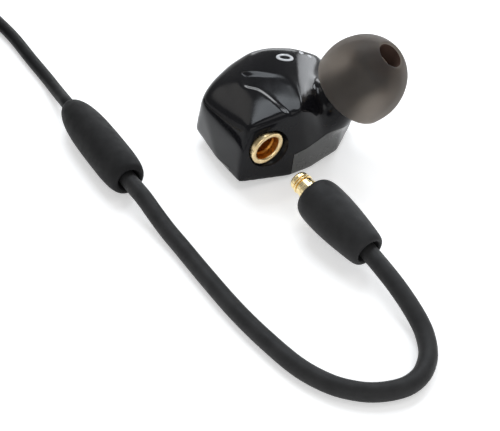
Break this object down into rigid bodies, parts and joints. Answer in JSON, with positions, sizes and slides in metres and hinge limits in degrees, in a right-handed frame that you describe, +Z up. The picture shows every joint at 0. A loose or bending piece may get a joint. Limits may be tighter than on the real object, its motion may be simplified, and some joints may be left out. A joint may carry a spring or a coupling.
{
  "type": "in-ear monitor",
  "caption": "In-ear monitor earpiece with soft domed ear tip and coaxial socket, beside its unplugged lead with formed ear loop, junction, coil and mini plug.",
  "frame": {"origin": "on the table plane, under the middle of the earpiece's bounding box (earpiece with its ear tip, without the lead)", "axes": "+Z up from the table, +X along the earpiece towards the ear tip, +Y from the socket side towards the back edge of the shell; the plug lies out along -Y and +X, the lead runs to -X"},
  "size_m": [0.1149, 0.0983, 0.0194],
  "materials": {
    "shell_black": "gloss",
    "cover_black": "satin gloss",
    "nozzle_black": "gloss",
    "screen_copper": "woven mesh",
    "damper_green": "matt",
    "tip_silicone": "smoky translucent, satin",
    "gold_ring": "polished gold plating",
    "socket_insulator": "matt",
    "contact_gold": "gold plating",
    "driver_steel": "plain",
    "board_green": "satin",
    "capacitor_tan": "matt",
    "sound_tube_clear": "satin",
    "wire_red": "enamel",
    "wire_blue": "enamel",
    "plug_insulator": "matt",
    "snap_ring_gold": "polished",
    "grip_black": "satin moulded",
    "loop_black": "matt",
    "junction_black": "matt moulded",
    "lead_black": "matt",
    "tie_black": "matt ribbed",
    "boot_black": "matt",
    "mini_black": "satin moulded",
    "mini_metal": "polished",
    "band_black": "matt"
  },
  "bodies": {
    "lead": {"plug_sleeve": "gold_ring", "plug_insulator": "plug_insulator", "plug_pin": "contact_gold", "plug_grip": "grip_black", "ear_loop_cable": "loop_black", "junction_sleeve": "junction_black", "lead_cable": "lead_black", "lead_coil": "lead_black", "lead_tail": "lead_black", "coil_tie": "tie_black", "mini_boot": "boot_black", "mini_grip": "mini_black", "mini_collar": "mini_metal", "mini_sleeve_contact": "gold_ring", "mini_band_rear": "band_black", "mini_ring_contact": "gold_ring", "mini_band_front": "band_black", "mini_tip_contact": "gold_ring"},
    "swivel_ring": {"snap_ring": "snap_ring_gold"},
    "earpiece": {"inner_shell": "shell_black", "outer_cover": "cover_black", "nozzle_tube": "nozzle_black", "nozzle_screen": "screen_copper", "acoustic_damper": "damper_green", "socket_ring": "gold_ring", "socket_insulator": "socket_insulator", "socket_contact": "contact_gold", "bass_driver": "driver_steel", "mid_driver": "driver_steel", "treble_driver": "driver_steel", "crossover_board": "board_green", "crossover_capacitor": "capacitor_tan", "bass_sound_tube": "sound_tube_clear", "treble_sound_tube": "sound_tube_clear", "signal_wire": "wire_red", "ground_wire": "wire_blue"},
    "tip": {"ear_tip": "tip_silicone"}
  },
  "joints": [
    {"name": "plug_swivel", "type": "hinge", "parent": "lead", "child": "swivel_ring", "pos_m": [-0.0046, -0.0086, 0.0066], "axis": [0.5828, -0.8021, -0.1305], "range_deg": [-15, 90]},
    {"name": "plug_insert", "type": "slide", "parent": "swivel_ring", "child": "earpiece", "axis": [0.5828, -0.8021, -0.1305], "range_m": [0, 0.0095]},
    {"name": "tip_pull_off", "type": "slide", "parent": "earpiece", "child": "tip", "axis": [0.5571, -0.2291, 0.7982], "range_m": [0, 0.008]}
  ]
}
